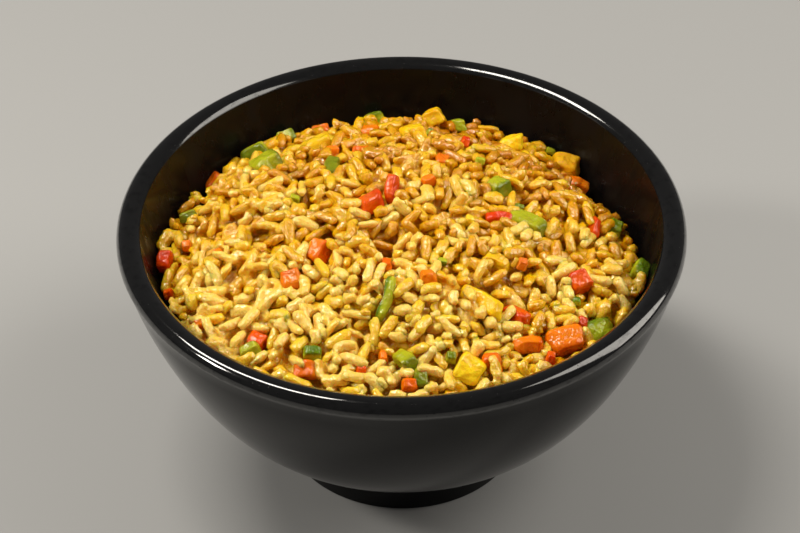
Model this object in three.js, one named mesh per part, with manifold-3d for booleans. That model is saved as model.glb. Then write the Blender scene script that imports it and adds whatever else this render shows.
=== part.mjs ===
// A black bowl heaped with fried rice and diced vegetables.
// Millimetres, +Z up. The origin is on the surface that the bowl stands on, under the middle of its foot.
// The photograph looks along +Y, so -Y is the near side and +X is to the right.
import * as THREE from "three";
import { mergeVertices } from "three/addons/utils/BufferGeometryUtils.js";
import Module from "manifold-3d";

const wasm = await Module();
wasm.setup();

// Bowl: driving dimensions
const RIM_RADIUS = 80; // widest, at the outside of the lip
const RIM_HEIGHT = 81; // flat top of the lip
const LIP_WIDTH = 6.5; // across the lip, from its outside to its inner edge
const LIP_FALL = 1.5; // the outer rounding drops this far below the flat top
const LIP_ROUNDING = 3.4; // and reaches this far in from the outside
const INNER_EDGE_ROUNDING = 2.6; // the inner rounding's reach across the lip
const INNER_EDGE_FALL = 1.3;
const OUTER_BASE = 12; // height at which the outer wall's curve would close on the axis
const OUTER_CURVE = { fall: 1.17, fullness: 3.76 }; // shape of that curve, from the photograph's outline
const INNER_BASE = 14.5; // floor inside the bowl
const INNER_CURVE = { fall: 1.2, fullness: 3.6 };
const UNDERSIDE = 10; // recessed bottom inside the foot ring
const FOOT_OUTER = 35;
const FOOT_INNER = 31;
const FOOT_FLARE = 1; // the foot ring widens by this much up to the body
const FOOT_TOP = 13.8; // the foot ring meets the body here
const BODY_START = 16; // first height on the outer wall above that joint
const TURN_SEGMENTS = 64; // the same for bowl and rice, so that their flats face each other
const OUTER_STEPS = 8;
const OUTER_CROWDING = 1.3; // 1 spaces the steps evenly, more crowds them near the base
const INNER_STEPS = 7;
const INNER_CROWDING = 1.6;
const LIP_STEPS = 3;

// Heap: driving dimensions
const WALL_GAP = 0.35; // between the rice and the bowl
const CROWN_HEIGHT = 82; // middle of the heap before clumps and grains
const SIDE_LEVEL = 65; // where the rice meets the wall at the sides and in front
const BACK_DROP = 4; // the rice lies this much lower along the back wall
const BACK_NARROWING = 1.5; // 1 lets that drop fade as a sine towards the sides, more fades it sooner
const DOME_ROUNDNESS = 2.1; // 2 is a parabola, lower is more pointed
const HEAP_RADIUS = 72;
const CORE_SPACING = 3.2; // between the points of the core's uneven top
const CORE_JITTER = 0.7; // those points are moved about by up to this much
const CLEAR_TOP = 110; // the cutting shape of the bowl's hollow ends above everything
const SLOPE_STEP = 2; // half the distance over which the heap's slope is measured

// Rice grains, as cooked
const GRAIN_LENGTH = 7.8;
const SMALLEST_GRAIN = 0.85; // share of the full length
const LARGEST_GRAIN = 1.15;
const GRAIN_WIDTH = 3.5;
const GRAIN_SIDES = 5;
const GRAIN_RINGS = 3;
const BUMP_COUNT = 620; // grains that show only as bumps on the core
const BUMP_RISE = 1.9;
const LOOSE_GRAINS = 120; // grains that lie free on top
const GRAIN_SINK = 0.15; // share of a grain's width that is pressed into the heap
const GRAIN_TILT = 24; // degrees, the most that an end of a loose grain is lifted
const GOLDEN_ANGLE = Math.PI * (3 - Math.sqrt(5)); // spreads the grains evenly over the round heap

// Clumps of rice and hollows between them: place, rise and reach
const CLUMPS = [
  { x: -15, y: -8, rise: 2.4, reach: 8 },
  { x: -11, y: -24, rise: 1.8, reach: 7 },
  { x: -47, y: 34, rise: 2.2, reach: 8 },
  { x: -43, y: 12, rise: 2.4, reach: 9 },
  { x: 31, y: -8, rise: 1.8, reach: 9 },
  { x: -50, y: -30, rise: 2.2, reach: 9 },
  { x: 12, y: 42, rise: 1.8, reach: 9 },
  { x: 4, y: 22, rise: 1.5, reach: 8 },
  { x: 52, y: 14, rise: 1.6, reach: 8 },
  { x: 8, y: -44, rise: 1.8, reach: 9 },
  { x: -28, y: -50, rise: 1.6, reach: 8 },
  { x: -4, y: -14, rise: -3, reach: 5 },
  { x: -41, y: -30, rise: -2, reach: 5 },
  { x: -62, y: -8, rise: -2, reach: 6 },
  { x: -33, y: -10, rise: -2.4, reach: 5 },
  { x: -10, y: 15, rise: -1.8, reach: 5 },
  { x: -5, y: -42, rise: -2.2, reach: 5 },
  { x: 44, y: -14, rise: -2.2, reach: 6 },
  { x: 30, y: -48, rise: -2.2, reach: 6 },
  { x: -26, y: 9, rise: -2, reach: 5 },
  { x: 62, y: 32, rise: -9, reach: 14 },
  { x: 72, y: 8, rise: -4, reach: 14 },
  { x: -58, y: 38, rise: -4.5, reach: 8 },
  { x: 36, y: 58, rise: -1.6, reach: 8 },
];

// Vegetables, diced and cut in strips: place, length, width, turn in degrees, lift of one end in degrees
const VEGETABLES = {
  carrot: [
    [-24, 63, 6, 4, 0, 10],
    [-9, 51, 6, 5, 70, 15],
    [-11, 37, 7, 4, 10, 0],
    [12, 27, 6, 4, 80, 20],
    [52, 36, 8, 5, 10, 10],
    [-23, -13, 7, 6, 60, 10],
    [-30, -25, 7, 6, 100, 15],
    [-26, -54, 6, 5, 0, 10],
    [2, -60, 5, 4, 0, 0],
    [7, -30, 5, 4, 0, 0],
    [44, -41, 10, 8, 20, 5],
    [34, -44, 9, 5, 10, 0],
    [24, -53, 6, 5, 0, 10],
    [-55, 38, 7, 6, 20, 10],
  ],
  redPepper: [
    [-3, 8, 10, 4, 85, 35],
    [-9, 4, 8, 7, 20, 15],
    [28, 0, 8, 4, -10, 10],
    [55, 5, 8, 3, 90, 25],
    [49, -22, 7, 6, 30, 20],
    [30, -35, 11, 4, -35, 0],
    [-39, -40, 6, 5, 60, 15],
    [-67, -2, 6, 5, 80, 20],
  ],
  yellowPepper: [
    [49, 44, 10, 9, -10, 10],
    [-24, 45, 9, 7, 10, 10],
    [4, 49, 8, 7, 20, 10],
    [8, 66, 5, 5, 0, 30],
    [33, 47, 7, 7, -15, 15],
    [22, -34, 15, 5, -50, 5],
    [18, -55, 9, 8, 60, 15],
    [26, -18, 13, 5, -25, 0],
  ],
  greenPepper: [
    [-44, 48, 9, 4, 5, 10],
    [-39, 32, 9, 8, 30, 15],
    [-20, 27, 9, 5, 90, 15],
    [-8, 66, 7, 5, 0, 20],
    [18, 63, 5, 4, 0, 10],
    [28, 15, 7, 6, 45, 10],
    [36, -1, 11, 6, -25, 5],
    [61, 10, 6, 5, 80, 20],
    [67, -8, 7, 5, 80, 20],
    [54, -35, 10, 8, 30, 15],
    [-4, -36, 14, 4, 70, 10],
    [1, -53, 7, 5, -50, 10],
    [5, -58, 6, 4, 90, 15],
    [-24, -49, 5, 4, 0, 0],
    [-41, -45, 6, 4, 10, 10],
    [-61, 16, 6, 3, 0, 0],
    [-35, 57, 7, 4, 10, 10],
  ],
};
const DICE_THICKNESS = 5; // a piece narrower than this is as thick as it is wide
const DICE_SINK = 0.55; // share of the thickness that is pressed into the heap
const DICE_TAPER = 0.86; // the upper face against the lower one
const STRIP_FROM = 8; // pieces this long or longer are curved like the pepper's wall
const STRIP_STEPS = 3;
const STRIP_BOW = 0.03; // rise of the curve for each square millimetre from the middle

const GRAIN_SEED = 11;
const BUMP_SEED = 23;
const JITTER_SEED = 37;

const MERGE_DISTANCE = 1e-3; // corners closer than this are one corner
const BOWL_BLACK = 0x0b0b0c;
const RICE_GOLD = 0xd9a441;

// A small seeded generator, so that every run lays the same heap.
function seededRandom(seed) {
  const range = 2 ** 32;
  const factor = 1664525;
  const addend = 1013904223;
  let state = seed;
  return () => {
    state = (state * factor + addend) % range;
    return state / range;
  };
}

// Radius of a bowl wall at a height: it is full near the top and sweeps in towards its base.
function wallRadius(height, top, topRadius, base, curve) {
  const down = Math.min((top - height) / (top - base), 1);
  return topRadius * (1 - down ** curve.fall) ** (1 / curve.fullness);
}

function outerPoint(height) {
  const radius = wallRadius(height, RIM_HEIGHT - LIP_FALL, RIM_RADIUS, OUTER_BASE, OUTER_CURVE);
  return new THREE.Vector2(radius, height);
}

// Points of the inner wall from the floor up, drawn in by the given gap.
function innerWall(gap) {
  const points = [];
  for (let i = 0; i <= INNER_STEPS; i++) {
    const share = i / INNER_STEPS;
    const height = INNER_BASE + (RIM_HEIGHT - INNER_EDGE_FALL - INNER_BASE) * share ** INNER_CROWDING;
    const radius = wallRadius(height, RIM_HEIGHT, RIM_RADIUS - LIP_WIDTH, INNER_BASE, INNER_CURVE);
    points.push(new THREE.Vector2(Math.max(radius - gap, 0), height));
  }
  return points;
}

// A quarter of an ellipse from its side to its top. A negative half width gives the side towards the axis.
function quarterRound(centre, halfWidth, halfHeight, steps) {
  const points = [];
  for (let i = 0; i <= steps; i++) {
    const angle = (Math.PI / 2) * (i / steps);
    points.push(new THREE.Vector2(
      centre.x + halfWidth * Math.cos(angle),
      centre.y + halfHeight * Math.sin(angle),
    ));
  }
  return points;
}

// Lathes turn about Y in three.js, so the finished shape is stood up along Z.
function turned(profile) {
  return new THREE.LatheGeometry(profile, TURN_SEGMENTS).rotateX(Math.PI / 2);
}

function bowlGeometry() {
  const profile = [
    new THREE.Vector2(0, UNDERSIDE),
    new THREE.Vector2(FOOT_INNER - FOOT_FLARE, UNDERSIDE),
    new THREE.Vector2(FOOT_INNER, 0),
    new THREE.Vector2(FOOT_OUTER, 0),
    new THREE.Vector2(FOOT_OUTER + FOOT_FLARE, FOOT_TOP),
  ];
  for (let i = 0; i < OUTER_STEPS; i++) {
    const share = i / OUTER_STEPS;
    const height = BODY_START + (RIM_HEIGHT - LIP_FALL - BODY_START) * share ** OUTER_CROWDING;
    profile.push(outerPoint(height));
  }
  const lipCentre = new THREE.Vector2(RIM_RADIUS - LIP_ROUNDING, RIM_HEIGHT - LIP_FALL);
  profile.push(...quarterRound(lipCentre, LIP_ROUNDING, LIP_FALL, LIP_STEPS));
  const innerCentre = new THREE.Vector2(RIM_RADIUS - LIP_WIDTH + INNER_EDGE_ROUNDING, RIM_HEIGHT - INNER_EDGE_FALL);
  const innerRound = quarterRound(innerCentre, -INNER_EDGE_ROUNDING, INNER_EDGE_FALL, LIP_STEPS);
  profile.push(...innerRound.slice(1).reverse());
  profile.push(...innerWall(0).reverse());
  return turned(profile);
}

// Height of the smooth heap: a low dome that meets the wall lower at the back.
function domeHeight(x, y) {
  const back = Math.max(Math.sin(Math.atan2(y, x)), 0);
  const level = SIDE_LEVEL - BACK_DROP * back ** BACK_NARROWING;
  const out = Math.min(Math.hypot(x, y) / HEAP_RADIUS, 1);
  return level + (CROWN_HEIGHT - level) * (1 - out ** DOME_ROUNDNESS);
}

// The dome with its clumps and hollows.
function heapHeight(x, y) {
  let height = domeHeight(x, y);
  for (const clump of CLUMPS) {
    const away = Math.hypot(x - clump.x, y - clump.y) / clump.reach;
    height += clump.rise * Math.exp(-away * away);
  }
  return height;
}

// Even places over the round heap, in the order of a sunflower's seeds, each a little off its spot.
function spreadPlaces(count, random) {
  const places = [];
  const spacing = HEAP_RADIUS / Math.sqrt(count);
  for (let i = 0; i < count; i++) {
    const radius = spacing * Math.sqrt(i + 0.5);
    const angle = i * GOLDEN_ANGLE;
    places.push({
      x: radius * Math.cos(angle) + (random() - 0.5) * spacing,
      y: radius * Math.sin(angle) + (random() - 0.5) * spacing,
      turn: random() * Math.PI,
      lift: (random() - 0.5) * 2 * THREE.MathUtils.degToRad(GRAIN_TILT),
      size: THREE.MathUtils.lerp(SMALLEST_GRAIN, LARGEST_GRAIN, random()),
    });
  }
  return places;
}

// How far the half-buried grain nearest above a point lifts it.
function bumpHeight(x, y, bumps) {
  let best = 0;
  for (const bump of bumps) {
    const dx = x - bump.x;
    const dy = y - bump.y;
    const along = (dx * Math.cos(bump.turn) + dy * Math.sin(bump.turn)) / (GRAIN_LENGTH / 2);
    const across = (dy * Math.cos(bump.turn) - dx * Math.sin(bump.turn)) / (GRAIN_WIDTH / 2);
    const inside = 1 - along * along - across * across;
    if (inside > 0) best = Math.max(best, BUMP_RISE * bump.size * Math.sqrt(inside));
  }
  return best;
}

// Turns a geometry into a closed solid that can be joined and cut.
function solidOf(geometry) {
  const bare = new THREE.BufferGeometry();
  bare.setAttribute("position", geometry.getAttribute("position"));
  if (geometry.index) bare.setIndex(geometry.index);
  const merged = mergeVertices(bare, MERGE_DISTANCE);
  return new wasm.Manifold(new wasm.Mesh({
    numProp: 3,
    vertProperties: new Float32Array(merged.getAttribute("position").array),
    triVerts: new Uint32Array(merged.index.array),
  }));
}

function geometryOf(solid) {
  const mesh = solid.getMesh();
  const geometry = new THREE.BufferGeometry();
  geometry.setAttribute("position", new THREE.BufferAttribute(mesh.vertProperties, 3));
  geometry.setIndex(new THREE.BufferAttribute(mesh.triVerts, 1));
  geometry.computeVertexNormals();
  return geometry;
}

// The block of rice under the loose grains: its top is the heap with a bump for each buried grain.
function coreSolid() {
  const bumps = spreadPlaces(BUMP_COUNT, seededRandom(BUMP_SEED));
  const random = seededRandom(JITTER_SEED);
  const width = 2 * RIM_RADIUS;
  const steps = Math.round(width / CORE_SPACING);
  const block = new THREE.BoxGeometry(width, width, width, steps, steps, 1);
  block.deleteAttribute("normal");
  block.deleteAttribute("uv");
  const merged = mergeVertices(block, MERGE_DISTANCE);
  const position = merged.getAttribute("position");
  for (let i = 0; i < position.count; i++) {
    const x = position.getX(i) + THREE.MathUtils.lerp(-CORE_JITTER, CORE_JITTER, random());
    const y = position.getY(i) + THREE.MathUtils.lerp(-CORE_JITTER, CORE_JITTER, random());
    const top = position.getZ(i) > 0;
    position.setXYZ(i, x, y, top ? heapHeight(x, y) + bumpHeight(x, y, bumps) : 0);
  }
  return solidOf(merged);
}

// Puts a piece on the heap, its middle at the given height over it: turned, one end lifted, leaning with the slope.
function laidOnHeap(geometry, place, height) {
  const { x, y } = place;
  const riseX = heapHeight(x + SLOPE_STEP, y) - heapHeight(x - SLOPE_STEP, y);
  const riseY = heapHeight(x, y + SLOPE_STEP) - heapHeight(x, y - SLOPE_STEP);
  const normal = new THREE.Vector3(-riseX, -riseY, 2 * SLOPE_STEP).normalize();
  const lean = new THREE.Quaternion().setFromUnitVectors(new THREE.Vector3(0, 0, 1), normal);
  return geometry
    .rotateY(-place.lift)
    .rotateZ(place.turn)
    .applyQuaternion(lean)
    .translate(x, y, heapHeight(x, y) + height);
}

function looseGrains() {
  const places = spreadPlaces(LOOSE_GRAINS, seededRandom(GRAIN_SEED));
  return places.map((place) => {
    const grain = new THREE.SphereGeometry(0.5, GRAIN_SIDES, GRAIN_RINGS);
    grain.rotateZ(Math.PI / 2);
    grain.scale(GRAIN_LENGTH * place.size, GRAIN_WIDTH, GRAIN_WIDTH);
    const height = BUMP_RISE + GRAIN_WIDTH * (0.5 - GRAIN_SINK);
    return solidOf(laidOnHeap(grain, place, height));
  });
}

// One piece of vegetable: a block that narrows towards its upper face, and bows if it is long.
function vegetable(length, width) {
  const thickness = Math.min(width, DICE_THICKNESS);
  const steps = length >= STRIP_FROM ? STRIP_STEPS : 1;
  const piece = new THREE.BoxGeometry(length, width, thickness, steps, 1, 1);
  const position = piece.getAttribute("position");
  for (let i = 0; i < position.count; i++) {
    const x = position.getX(i);
    const taper = position.getZ(i) > 0 ? DICE_TAPER : 1;
    const bow = steps > 1 ? STRIP_BOW * ((length / 2) ** 2 - x * x) : 0;
    position.setXYZ(i, x * taper, position.getY(i) * taper, position.getZ(i) + bow);
  }
  return piece;
}

function vegetableSolids() {
  return Object.values(VEGETABLES).flat().map(([x, y, length, width, turn, lift]) => {
    const thickness = Math.min(width, DICE_THICKNESS);
    const place = {
      x,
      y,
      turn: THREE.MathUtils.degToRad(turn),
      lift: THREE.MathUtils.degToRad(lift),
    };
    const height = BUMP_RISE + thickness * (0.5 - DICE_SINK);
    return solidOf(laidOnHeap(vegetable(length, width), place, height));
  });
}

// The bowl's hollow, less the gap, carried straight up past the rim: the rice is trimmed to it.
function hollowSolid() {
  const wall = innerWall(WALL_GAP);
  const profile = [new THREE.Vector2(0, INNER_BASE + WALL_GAP), ...wall.slice(1)];
  profile.push(new THREE.Vector2(wall.at(-1).x, CLEAR_TOP));
  profile.push(new THREE.Vector2(0, CLEAR_TOP));
  return solidOf(turned(profile));
}

function heapGeometry() {
  const pieces = [coreSolid(), ...vegetableSolids(), ...looseGrains()];
  const joined = wasm.Manifold.union(pieces).intersect(hollowSolid());
  // The largest shell is the heap. Loose scraps and sealed pockets are the other ones.
  const shells = joined.decompose().sort((a, b) => b.volume() - a.volume());
  return geometryOf(shells[0]);
}

function namedMesh(name, geometry, colour, roughness) {
  const material = new THREE.MeshStandardMaterial({ color: colour, roughness, metalness: 0 });
  const mesh = new THREE.Mesh(geometry, material);
  mesh.name = name;
  return mesh;
}

const friedRiceBowl = new THREE.Group();
friedRiceBowl.add(namedMesh("bowl", bowlGeometry(), BOWL_BLACK, 0.15));
friedRiceBowl.add(namedMesh("fried_rice", heapGeometry(), RICE_GOLD, 0.4));

export default friedRiceBowl;
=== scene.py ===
# %% [markdown]
# # A bowl of fried rice
# The object is a glossy black bowl, heaped with fried rice and diced vegetables.
# Its sizes come from a fixed frame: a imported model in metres, with +Z up and the origin under the foot.
# The frame is loaded first, so that every piece made below can be given its place in it.

# %% Load the frame
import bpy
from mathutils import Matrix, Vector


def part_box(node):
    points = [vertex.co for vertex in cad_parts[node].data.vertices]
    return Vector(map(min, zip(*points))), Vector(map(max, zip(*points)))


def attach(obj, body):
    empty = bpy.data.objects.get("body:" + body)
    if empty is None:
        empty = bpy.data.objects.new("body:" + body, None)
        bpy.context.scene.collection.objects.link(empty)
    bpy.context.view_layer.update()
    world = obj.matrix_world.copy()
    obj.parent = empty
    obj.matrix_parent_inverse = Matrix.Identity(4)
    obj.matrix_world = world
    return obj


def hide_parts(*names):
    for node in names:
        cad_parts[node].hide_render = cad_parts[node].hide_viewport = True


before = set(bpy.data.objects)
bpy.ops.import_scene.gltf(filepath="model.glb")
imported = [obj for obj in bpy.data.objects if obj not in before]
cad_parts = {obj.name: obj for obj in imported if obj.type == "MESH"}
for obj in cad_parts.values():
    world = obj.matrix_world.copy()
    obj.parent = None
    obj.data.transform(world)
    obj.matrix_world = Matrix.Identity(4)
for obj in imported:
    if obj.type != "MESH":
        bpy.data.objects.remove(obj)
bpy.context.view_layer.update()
print("nodes in the frame:", sorted(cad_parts))

# %% Units and the frame's own sizes
import math
from dataclasses import dataclass

import bpy
import numpy as np
from mathutils import Matrix, Vector
from mathutils.kdtree import KDTree

MM = 0.001
scene = bpy.context.scene
bowl_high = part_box("bowl")[1]
rice_low, rice_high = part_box("fried_rice")
RIM_RADIUS = bowl_high.x
RIM_HEIGHT = bowl_high.z
print(f"bowl {2000 * RIM_RADIUS:.0f} mm wide, {1000 * RIM_HEIGHT:.0f} mm high")
print(f"rice from {1000 * rice_low.z:.1f} to {1000 * rice_high.z:.1f} mm")

# %% [markdown]
# ## The camera
# A food photographer looks down into the bowl from in front, with a long lens, so that the rim is a wide
# ellipse and the far wall still shows. The picture is 800 by 533 pixels. The camera's distance and tilt
# follow from the shapes of the rim's two ellipses, and a tiny roll levels it as in the photograph.

# %% Place the camera
IMAGE_WIDTH = 800
CAMERA_TILT = math.radians(39.5)
CAMERA_DISTANCE = 720 * MM
CAMERA_TARGET = Vector((-0.5, 0, 62.4)) * MM
CAMERA_ROLL = math.radians(-0.5)
FOCAL_PIXELS = 2526
SENSOR_WIDTH = 36

camera_data = bpy.data.cameras.new("camera")
camera_data.sensor_width = SENSOR_WIDTH
camera_data.lens = FOCAL_PIXELS * SENSOR_WIDTH / IMAGE_WIDTH
camera_data.clip_start = 0.05
camera = bpy.data.objects.new("camera", camera_data)
scene.collection.objects.link(camera)
to_camera = Vector((0, -math.cos(CAMERA_TILT), math.sin(CAMERA_TILT)))
camera.location = CAMERA_TARGET + CAMERA_DISTANCE * to_camera
facing = (-to_camera).to_track_quat("-Z", "Y").to_matrix()
camera.rotation_euler = (facing @ Matrix.Rotation(CAMERA_ROLL, 3, "Z")).to_euler()
scene.camera = camera
print(f"lens {camera_data.lens:.1f} mm at {CAMERA_DISTANCE * 1000:.0f} mm")

# %% [markdown]
# ## Shader maths as plain expressions
# A finish is a formula over the surface: a noise here, a mask there. Each socket of a shader node is wrapped
# in a small class whose operators add the Math nodes, so the formula reads as Python. Colours go through
# Mix nodes, because a Math node would turn them grey.

# %% Wrap a shader's sockets
class Wire:
    """One output socket of a material's node tree, with arithmetic on it."""

    def __init__(self, tree, socket):
        self.tree = tree
        self.socket = socket

    def math(self, operation, *others):
        values = dict(enumerate((self, *others)))
        return node(self.tree, "ShaderNodeMath", {"operation": operation}, values)

    def __add__(self, other):
        return self.math("ADD", other)

    def __sub__(self, other):
        return self.math("SUBTRACT", other)

    def __mul__(self, other):
        return self.math("MULTIPLY", other)

    def __rsub__(self, other):
        return node(self.tree, "ShaderNodeMath", {"operation": "SUBTRACT"}, {0: other, 1: self})

    __radd__ = __add__
    __rmul__ = __mul__

    def above(self, low, high):
        """0 under the low value, 1 over the high one, and smooth between them."""
        settings = {"interpolation_type": "SMOOTHSTEP"}
        values = {"Value": self, "From Min": low, "From Max": high}
        return node(self.tree, "ShaderNodeMapRange", settings, values)


def node(tree, kind, settings=None, values=None, output=0):
    """Adds a node: its settings first, then the values or links of its sockets."""
    made = tree.nodes.new(kind)
    for name, value in (settings or {}).items():
        setattr(made, name, value)
    for name, value in (values or {}).items():
        if isinstance(value, Wire):
            tree.links.new(value.socket, made.inputs[name])
        else:
            made.inputs[name].default_value = value
    return Wire(tree, made.outputs[output])


# %% Helpers for colours, patterns and finished materials
def blend(tree, share, first, second):
    """A colour between two colours: the first at share 0, the second at share 1."""
    mix = tree.nodes.new("ShaderNodeMix")
    mix.data_type = "RGBA"
    for name, value in (("Factor_Float", share), ("A_Color", first), ("B_Color", second)):
        socket = next(s for s in mix.inputs if s.identifier == name)
        if isinstance(value, Wire):
            tree.links.new(value.socket, socket)
        else:
            socket.default_value = value if name == "Factor_Float" else (*value, 1)
    return Wire(tree, next(s for s in mix.outputs if s.identifier == "Result_Color"))


def place_of(tree):
    return node(tree, "ShaderNodeTexCoord", output="Object")


def axis(tree, number):
    """The place along one axis: 0 for X, 1 for Y and 2 for Z."""
    return node(tree, "ShaderNodeSeparateXYZ", {}, {"Vector": place_of(tree)}, output=number)


def attribute(tree, name):
    return node(tree, "ShaderNodeAttribute", {"attribute_name": name}, output="Fac")


def noise(tree, size, detail=3, stretch=(1, 1, 1)):
    """Noise whose blots are about the given size, in metres, on the piece's own place."""
    scale = {"Vector": place_of(tree), "Scale": stretch}
    where = node(tree, "ShaderNodeMapping", {}, scale)
    return node(tree, "ShaderNodeTexNoise", {}, {"Vector": where, "Scale": 1 / size, "Detail": detail})


def material(name, build, **constants):
    """A Principled material: constants go straight on its sockets, build returns what varies."""
    made = bpy.data.materials.new(name)
    made.use_nodes = True
    tree = made.node_tree
    shader = tree.nodes["Principled BSDF"]
    for socket, value in constants.items():
        shader.inputs[socket.replace("_", " ")].default_value = value
    for socket, wire in build(tree).items():
        tree.links.new(wire.socket, shader.inputs[socket])
    return made


def bump(tree, height, depth):
    """Turns a pattern of heights from 0 to 1 into a relief of the given depth in metres."""
    return node(tree, "ShaderNodeBump", {}, {"Height": height, "Distance": depth, "Strength": 1.0})


# %% [markdown]
# ## The bowl
# A rice bowl is turned: every level of it is a circle. It could be a profile spun round the axis. Here it is
# built as a potter would, from one ring that is pulled along the wall: down the inside of the foot, up the
# outside, over the lip and down inside again. Each pull is an extrude, and a resize gives the new radius.
# The lip is a bead that rounds off outwards and ends inside in a crisp edge. It is the part that catches
# the light, so it gets the closest rings.

# %% The bowl's own sizes
LIP_WIDTH = 6.5 * MM
LIP_FALL, LIP_ROUNDING = 3.4 * MM, 3.0 * MM
LIP_START = RIM_HEIGHT - LIP_FALL
LIP_CREST = 0.2 * MM
INNER_ROUNDING = 4.7 * MM
INNER_ROUNDING_ANGLE = 48
INNER_WALL_FALL = 2 * MM
WALL_TOP_FALL = 1.5 * MM
OUTER_BASE = 12 * MM
OUTER_FALL, OUTER_FULLNESS = 1.17, 3.76
INNER_BASE = 14.5 * MM
INNER_FALL, INNER_FULLNESS = 1.2, 3.6
UNDERSIDE = 10 * MM
FOOT_OUTER, FOOT_INNER, FOOT_FLARE = 35 * MM, 31 * MM, 1 * MM
FOOT_TOP = 13.8 * MM
FOOT_EDGE = 0.6 * MM
BODY_START = 16 * MM
RING_POINTS = 160


def wall_radius(height, top, top_radius, base, fall, fullness):
    """Radius of a wall that is full near its top and sweeps in towards its base."""
    down = min((top - height) / (top - base), 1)
    return top_radius * (1 - down**fall) ** (1 / fullness)


def outer_wall(height):
    top = RIM_HEIGHT - WALL_TOP_FALL
    return wall_radius(height, top, RIM_RADIUS, OUTER_BASE, OUTER_FALL, OUTER_FULLNESS)


def inner_wall(height):
    return wall_radius(height, RIM_HEIGHT, RIM_RADIUS - LIP_WIDTH, INNER_BASE, INNER_FALL, INNER_FULLNESS)


# %% The path that the ring follows, as radius and height
FOOT_EDGE_STEPS, LIP_STEPS, INNER_LIP_STEPS = 5, 12, 9
OUTER_RINGS, OUTER_LAST, OUTER_CROWDING = 24, 0.98, 1.3
INNER_RINGS, INNER_LAST, INNER_CROWDING = 22, 0.1, 1.6


def quarter_round(centre, across, up, steps, start, end):
    """Points of a rounded edge between two angles, in degrees."""
    angles = np.radians(np.linspace(start, end, steps + 1))
    return [(centre[0] + across * math.cos(a), centre[1] + up * math.sin(a)) for a in angles]


bowl_path = [(FOOT_INNER - FOOT_FLARE, UNDERSIDE)]
for middle, start in ((FOOT_INNER + FOOT_EDGE, 180), (FOOT_OUTER - FOOT_EDGE, 270)):
    bowl_path += quarter_round((middle, FOOT_EDGE), FOOT_EDGE, FOOT_EDGE, FOOT_EDGE_STEPS, start, start + 90)
bowl_path += [(FOOT_OUTER + FOOT_FLARE, FOOT_TOP)]
outer_shares = np.linspace(0, OUTER_LAST, OUTER_RINGS) ** OUTER_CROWDING
bowl_path += [(outer_wall(z), z) for z in BODY_START + (LIP_START - BODY_START) * outer_shares]
lip_centre = (RIM_RADIUS - LIP_ROUNDING, LIP_START)
bowl_path += quarter_round(lip_centre, LIP_ROUNDING, LIP_FALL, LIP_STEPS, 0, 90)
inner_centre = (RIM_RADIUS - LIP_ROUNDING - LIP_CREST, RIM_HEIGHT - INNER_ROUNDING)
inner_end = 90 + INNER_ROUNDING_ANGLE
bowl_path += quarter_round(inner_centre, INNER_ROUNDING, INNER_ROUNDING, INNER_LIP_STEPS, 90, inner_end)
inner_span = RIM_HEIGHT - INNER_BASE - INNER_WALL_FALL
inner_shares = np.linspace(1, INNER_LAST, INNER_RINGS) ** INNER_CROWDING
bowl_path += [(inner_wall(z), z) for z in INNER_BASE + inner_span * inner_shares]
print("rings in the bowl:", len(bowl_path))

# %% Pull the ring along the path
SHARPEST_SMOOTHED = math.radians(30)


def deselect_all():
    if bpy.context.mode != "OBJECT":
        bpy.ops.object.mode_set(mode="OBJECT")
    bpy.ops.object.select_all(action="DESELECT")


def select_only(*pieces):
    """Selects these pieces and nothing else. The first one becomes the active piece."""
    deselect_all()
    for piece in pieces:
        piece.select_set(True)
    bpy.context.view_layer.objects.active = pieces[0]


def pull_ring(name, path, points, end_height):
    """A closed turned piece: starts as a disc, follows the path, and closes on the axis."""
    deselect_all()
    radius, height = path[0]
    bpy.ops.mesh.primitive_circle_add(
        vertices=points, radius=radius, fill_type="TRIFAN", location=(0, 0, height))
    piece = bpy.context.object
    piece.name = piece.data.name = name
    bpy.ops.object.transform_apply(location=True, rotation=True, scale=True)
    bpy.ops.object.mode_set(mode="EDIT")
    bpy.ops.mesh.select_all(action="SELECT")
    bpy.ops.mesh.region_to_loop()
    for next_radius, next_height in path[1:]:
        bpy.ops.mesh.extrude_edges_move(TRANSFORM_OT_translate={"value": (0, 0, next_height - height)})
        stretch = next_radius / radius
        bpy.ops.transform.resize(value=(stretch, stretch, 1))
        radius, height = next_radius, next_height
    bpy.ops.mesh.extrude_edges_move(TRANSFORM_OT_translate={"value": (0, 0, end_height - height)})
    bpy.ops.mesh.merge(type="CENTER")
    bpy.ops.mesh.select_all(action="SELECT")
    bpy.ops.mesh.normals_make_consistent(inside=False)
    bpy.ops.object.mode_set(mode="OBJECT")
    bpy.ops.object.shade_smooth_by_angle(angle=SHARPEST_SMOOTHED)
    return piece


bowl = pull_ring("rice_bowl", bowl_path, RING_POINTS, INNER_BASE)
print("bowl faces:", len(bowl.data.polygons))

# %% [markdown]
# ## The bowl's finish
# The bowl is moulded black resin, and wiping has polished its lip until it mirrors the lamps. In use the
# lip picks up scratches and specks, and the rice leaves a thin brownish film of oil inside, in streaks. One
# flat gloss would do for a new bowl, but the eye reads the wear. So the lip gets a clear coat that its
# scratches dull, and the film is browner and rougher. A mark on the mesh tells the inner wall from the rest.

# %% Mark the inner wall
MARK_REACH = 0.1 * MM


def write_layer(piece, name, values):
    """Gives each corner of a piece a number, under a name that the piece's finish reads."""
    layers = piece.data.attributes
    layer = layers[name] if name in layers else layers.new(name, "FLOAT", "POINT")
    layer.data.foreach_set("value", np.asarray(values, np.float32))


def is_inner_wall(place):
    height = min(place.z, RIM_HEIGHT)
    if height < INNER_BASE - MARK_REACH:
        return False
    return math.hypot(place.x, place.y) < inner_wall(max(height, INNER_BASE)) + MARK_REACH


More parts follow.
